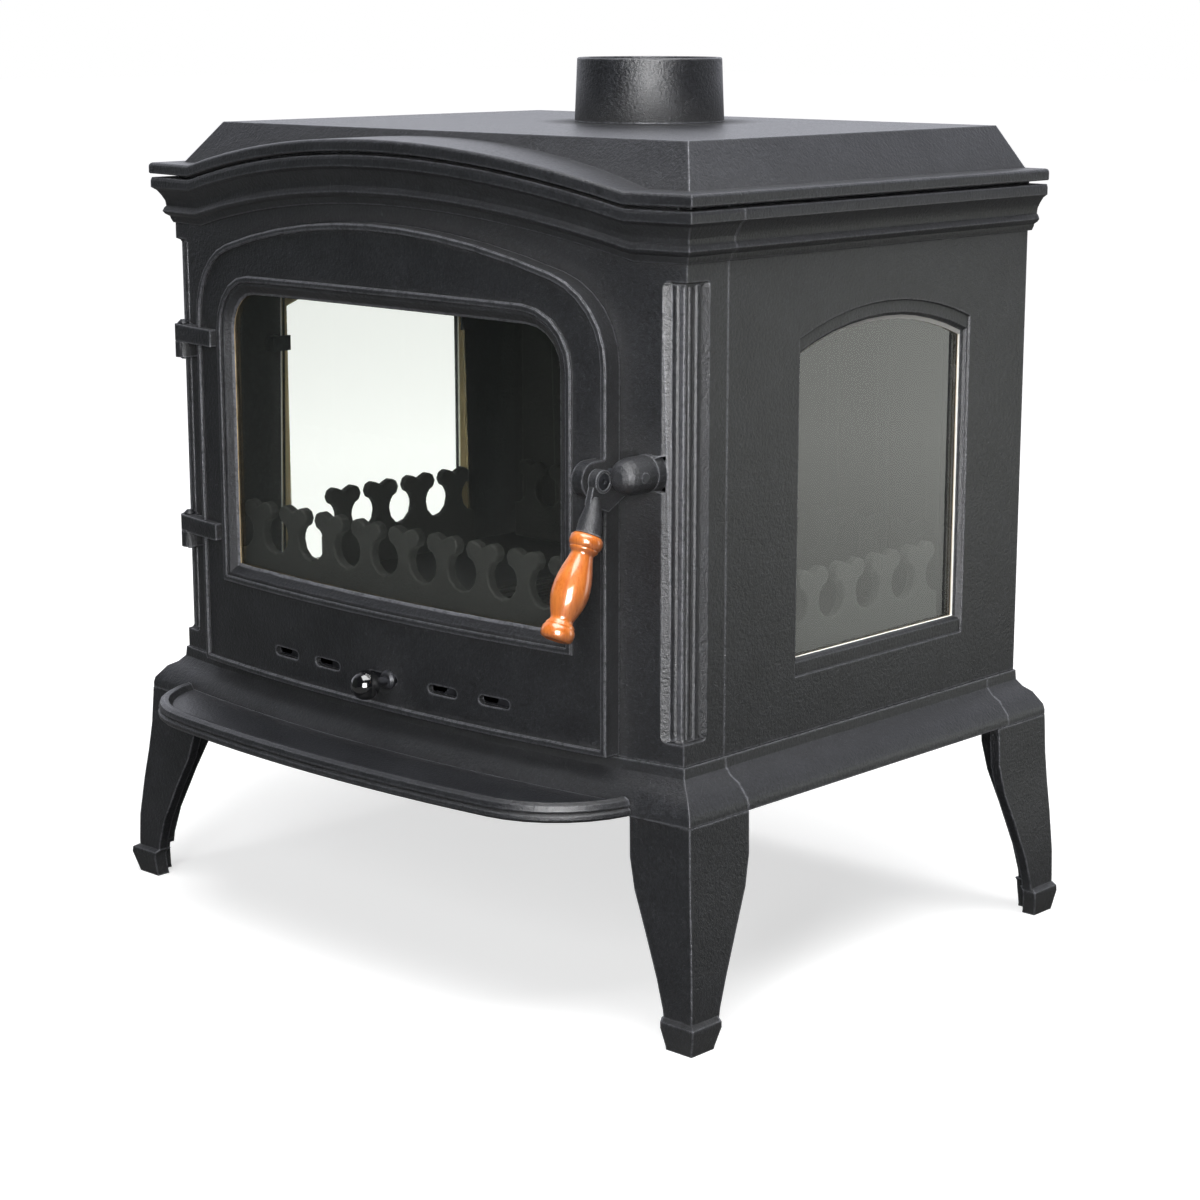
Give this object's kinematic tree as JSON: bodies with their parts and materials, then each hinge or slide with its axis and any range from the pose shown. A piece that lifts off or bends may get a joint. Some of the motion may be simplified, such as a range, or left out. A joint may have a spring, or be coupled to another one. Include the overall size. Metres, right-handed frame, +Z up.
{
  "type": "cast iron wood stove",
  "caption": "Free-standing cast iron wood stove with a bowed glass door, arched side windows, fluted corners, ash shelf, flue collar and flared legs.",
  "frame": {"origin": "centre of the stove's outer box, on the floor", "axes": "+Z up, +X to the right seen from the front, and the door faces -Y"},
  "size_m": [0.805, 0.662, 0.8633],
  "materials": {
    "cast_iron": "satin black stove paint on cast iron",
    "black_steel": "black oxide steel",
    "sheet_steel": "plain sheet steel, dulled by heat",
    "clear_glass": "clear heat-proof glass",
    "ceramic_rope": "woven ceramic fibre rope and tape",
    "black_ball": "gloss black phenolic",
    "varnished_wood": "red-brown varnish on turned wood"
  },
  "bodies": {
    "stove_body": {"front_plate": "cast_iron", "left_side_plate": "cast_iron", "right_side_plate": "cast_iron", "back_plate": "cast_iron", "top_plate": "cast_iron", "flue_collar": "cast_iron", "base_front_rail": "cast_iron", "base_left_rail": "cast_iron", "base_right_rail": "cast_iron", "base_rear_rail": "cast_iron", "hearth_plate": "cast_iron", "ash_shelf": "cast_iron", "front_left_leg": "cast_iron", "front_right_leg": "cast_iron", "rear_left_leg": "cast_iron", "rear_right_leg": "cast_iron", "firebed_plate": "cast_iron", "fire_grate": "cast_iron", "ash_pan": "sheet_steel", "ash_pan_pull": "sheet_steel", "fireback": "cast_iron", "baffle_plate": "cast_iron", "front_log_guard": "cast_iron", "rear_log_guard": "cast_iron", "left_log_guard": "cast_iron", "right_log_guard": "cast_iron", "left_window_glass": "clear_glass", "right_window_glass": "clear_glass", "left_window_seal": "ceramic_rope", "right_window_seal": "ceramic_rope", "left_window_clip_front": "black_steel", "left_window_clip_rear": "black_steel", "right_window_clip_front": "black_steel", "right_window_clip_rear": "black_steel", "hinge_pin_upper": "black_steel", "hinge_pin_lower": "black_steel", "latch_keeper": "cast_iron", "latch_pin": "black_steel"},
    "door": {"door_frame": "cast_iron", "door_glass": "clear_glass", "door_glass_seal": "ceramic_rope", "door_seal": "ceramic_rope", "door_clip_upper_left": "black_steel", "door_clip_upper_right": "black_steel", "door_clip_lower_left": "black_steel", "door_clip_lower_right": "black_steel", "air_slide_guide_upper": "black_steel", "air_slide_guide_lower": "black_steel", "handle_screw": "black_steel"},
    "handle": {"handle_lever": "black_steel", "handle_grip": "varnished_wood"},
    "air_control": {"air_slide": "black_steel", "air_stem_collar": "black_steel", "air_knob": "black_ball"}
  },
  "joints": [
    {"name": "door_swing", "type": "hinge", "parent": "stove_body", "child": "door", "pos_m": [-0.318, -0.21302, 0.49], "axis": [0, 0, -1], "range_deg": [0, 110]},
    {"name": "handle_lift", "type": "hinge", "parent": "door", "child": "handle", "pos_m": [0.2895, -0.23854, 0.5075], "axis": [-1, 0, 0], "range_deg": [0, 65]},
    {"name": "air_slide_travel", "type": "slide", "parent": "door", "child": "air_control", "axis": [1, 0, 0], "range_m": [-0.016, 0.006]}
  ]
}
